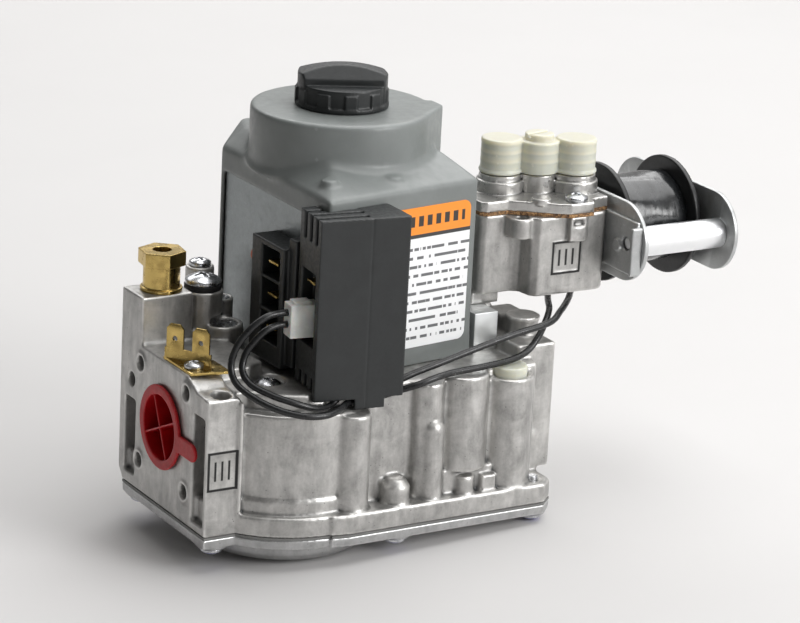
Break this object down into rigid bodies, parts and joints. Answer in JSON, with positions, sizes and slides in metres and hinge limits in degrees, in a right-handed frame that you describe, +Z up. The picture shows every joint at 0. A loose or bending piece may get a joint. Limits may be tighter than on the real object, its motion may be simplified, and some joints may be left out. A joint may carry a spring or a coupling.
{
  "type": "gas valve",
  "caption": "Die-cast combination gas valve with turn knob, clip-on wiring module, pressure regulator tower and side-mounted step-opening solenoid.",
  "frame": {"origin": "centre of the inlet port, on the flat inlet face", "axes": "+X along the flow, from the inlet port to the outlet port; +Z up, towards the knob"},
  "size_m": [0.2017, 0.1044, 0.1542],
  "materials": {
    "casting": "raw die-cast aluminium, matt with bright burrs",
    "cover_plate": "raw die-cast aluminium, darker",
    "zinc_screws": "zinc plated",
    "black_rubber": "moulded rubber",
    "brass": "machined and stamped brass",
    "spring_steel": "spring wire",
    "red_plastic": "soft polyethylene cap",
    "grey_paint": "grey enamel, slightly textured",
    "galvanised_steel": "galvanised sheet",
    "label_print": "printed foil label",
    "black_plastic": "moulded nylon",
    "white_plastic": "moulded nylon",
    "copper_wire": "enamelled copper winding",
    "zinc_steel": "zinc plated steel",
    "plunger_steel": "turned steel",
    "cork": "cork composition",
    "cream_nylon": "translucent nylon",
    "coil_plastic": "black moulded bobbin",
    "coil_tape": "glossy insulating tape",
    "aluminium_rod": "turned aluminium",
    "orange_plastic": "orange moulded plastic",
    "wire_jacket": "black insulated wire",
    "dark_plug": "sealing compound over a plug"
  },
  "bodies": {
    "valve": {"main_casting": "casting", "main_diaphragm": "black_rubber", "bottom_cover": "cover_plate", "bottom_screws": "zinc_screws", "main_spring": "spring_steel", "inlet_screen": "spring_steel", "top_cover": "grey_paint", "side_panel": "galvanised_steel", "rating_label": "label_print", "first_bobbin": "white_plastic", "first_winding": "copper_wire", "first_frame": "zinc_steel", "first_spring": "spring_steel", "servo_bobbin": "white_plastic", "servo_winding": "copper_wire", "servo_frame": "zinc_steel", "servo_spring": "spring_steel", "regulator_body": "casting", "regulator_gasket": "cork", "regulator_top": "casting", "regulator_screws": "zinc_screws", "regulator_springs": "spring_steel", "regulator_diaphragms": "black_rubber", "coil_bobbin": "coil_plastic", "coil_winding": "coil_tape", "yoke_left": "zinc_steel", "yoke_right": "zinc_steel", "spacer_rods": "aluminium_rod", "yoke_screws": "zinc_screws", "coil_bracket": "zinc_steel", "connector_module": "black_plastic", "terminal_block": "black_plastic", "spade_terminals": "brass", "indicator_button": "orange_plastic", "wire_plug": "white_plastic", "wire_outer": "wire_jacket", "wire_inner": "wire_jacket", "support_bracket": "galvanised_steel", "pilot_fitting": "brass", "pilot_screw": "zinc_screws", "pilot_seal": "black_rubber", "ground_terminal": "brass", "ground_screw": "zinc_screws", "deck_screws": "zinc_screws", "casting_plugs": "dark_plug", "column_plug": "cream_nylon"},
    "knob": {"control_knob": "black_plastic", "knob_barrel": "brass"},
    "shutoff": {"shutoff_valve": "brass"},
    "main_valve": {"main_valve": "brass"},
    "inlet_cap": {"inlet_cap": "red_plastic"},
    "regulator_cap": {"regulator_cap": "cream_nylon"},
    "low_adjuster": {"low_adjuster": "cream_nylon"},
    "high_adjuster": {"high_adjuster": "cream_nylon"},
    "first_plunger": {"first_plunger": "plunger_steel"},
    "servo_plunger": {"servo_plunger": "plunger_steel"},
    "step_plunger": {"step_plunger": "plunger_steel", "step_spring": "spring_steel"}
  },
  "joints": [
    {"name": "knob_turn", "type": "hinge", "parent": "valve", "child": "knob", "pos_m": [0.072, 0.015, 0.1015], "axis": [0, 0, 1], "range_deg": [0, 90]},
    {"name": "shutoff_lift", "type": "slide", "parent": "valve", "child": "shutoff", "axis": [0, 0, 1], "range_m": [0, 0.003]},
    {"name": "main_valve_open", "type": "slide", "parent": "valve", "child": "main_valve", "axis": [0, 0, -1], "range_m": [0, 0.003], "stiffness_N_per_m": 300, "springref_m": -0.0015, "deforming": ["main_spring"]},
    {"name": "inlet_cap_pull", "type": "slide", "parent": "valve", "child": "inlet_cap", "axis": [-1, 0, 0], "range_m": [0, 0.012]},
    {"name": "regulator_cap_lift", "type": "slide", "parent": "valve", "child": "regulator_cap", "axis": [0, 0, 1], "range_m": [0, 0.015]},
    {"name": "low_adjuster_turn", "type": "hinge", "parent": "valve", "child": "low_adjuster", "pos_m": [0.1254, -0.00349, 0.0695], "axis": [0, 0, 1], "range_deg": [-720, 720]},
    {"name": "high_adjuster_turn", "type": "hinge", "parent": "valve", "child": "high_adjuster", "pos_m": [0.1502, -0.01251, 0.0695], "axis": [0, 0, 1], "range_deg": [-720, 720]},
    {"name": "first_plunger_lift", "type": "slide", "parent": "valve", "child": "first_plunger", "axis": [0, 0, 1], "range_m": [0, 0.0018], "stiffness_N_per_m": 200, "springref_m": -0.002, "deforming": ["first_spring"]},
    {"name": "servo_plunger_lift", "type": "slide", "parent": "valve", "child": "servo_plunger", "axis": [0, 0, 1], "range_m": [0, 0.0018], "stiffness_N_per_m": 200, "springref_m": -0.002, "deforming": ["servo_spring"]},
    {"name": "step_plunger_pull", "type": "slide", "parent": "valve", "child": "step_plunger", "axis": [1, 0, 0], "range_m": [0, 0.0025], "stiffness_N_per_m": 200, "springref_m": -0.001}
  ],
  "couplings": [
    {"joint": "knob_turn", "follows": "shutoff_lift", "rad_per_m": 523.6}
  ]
}
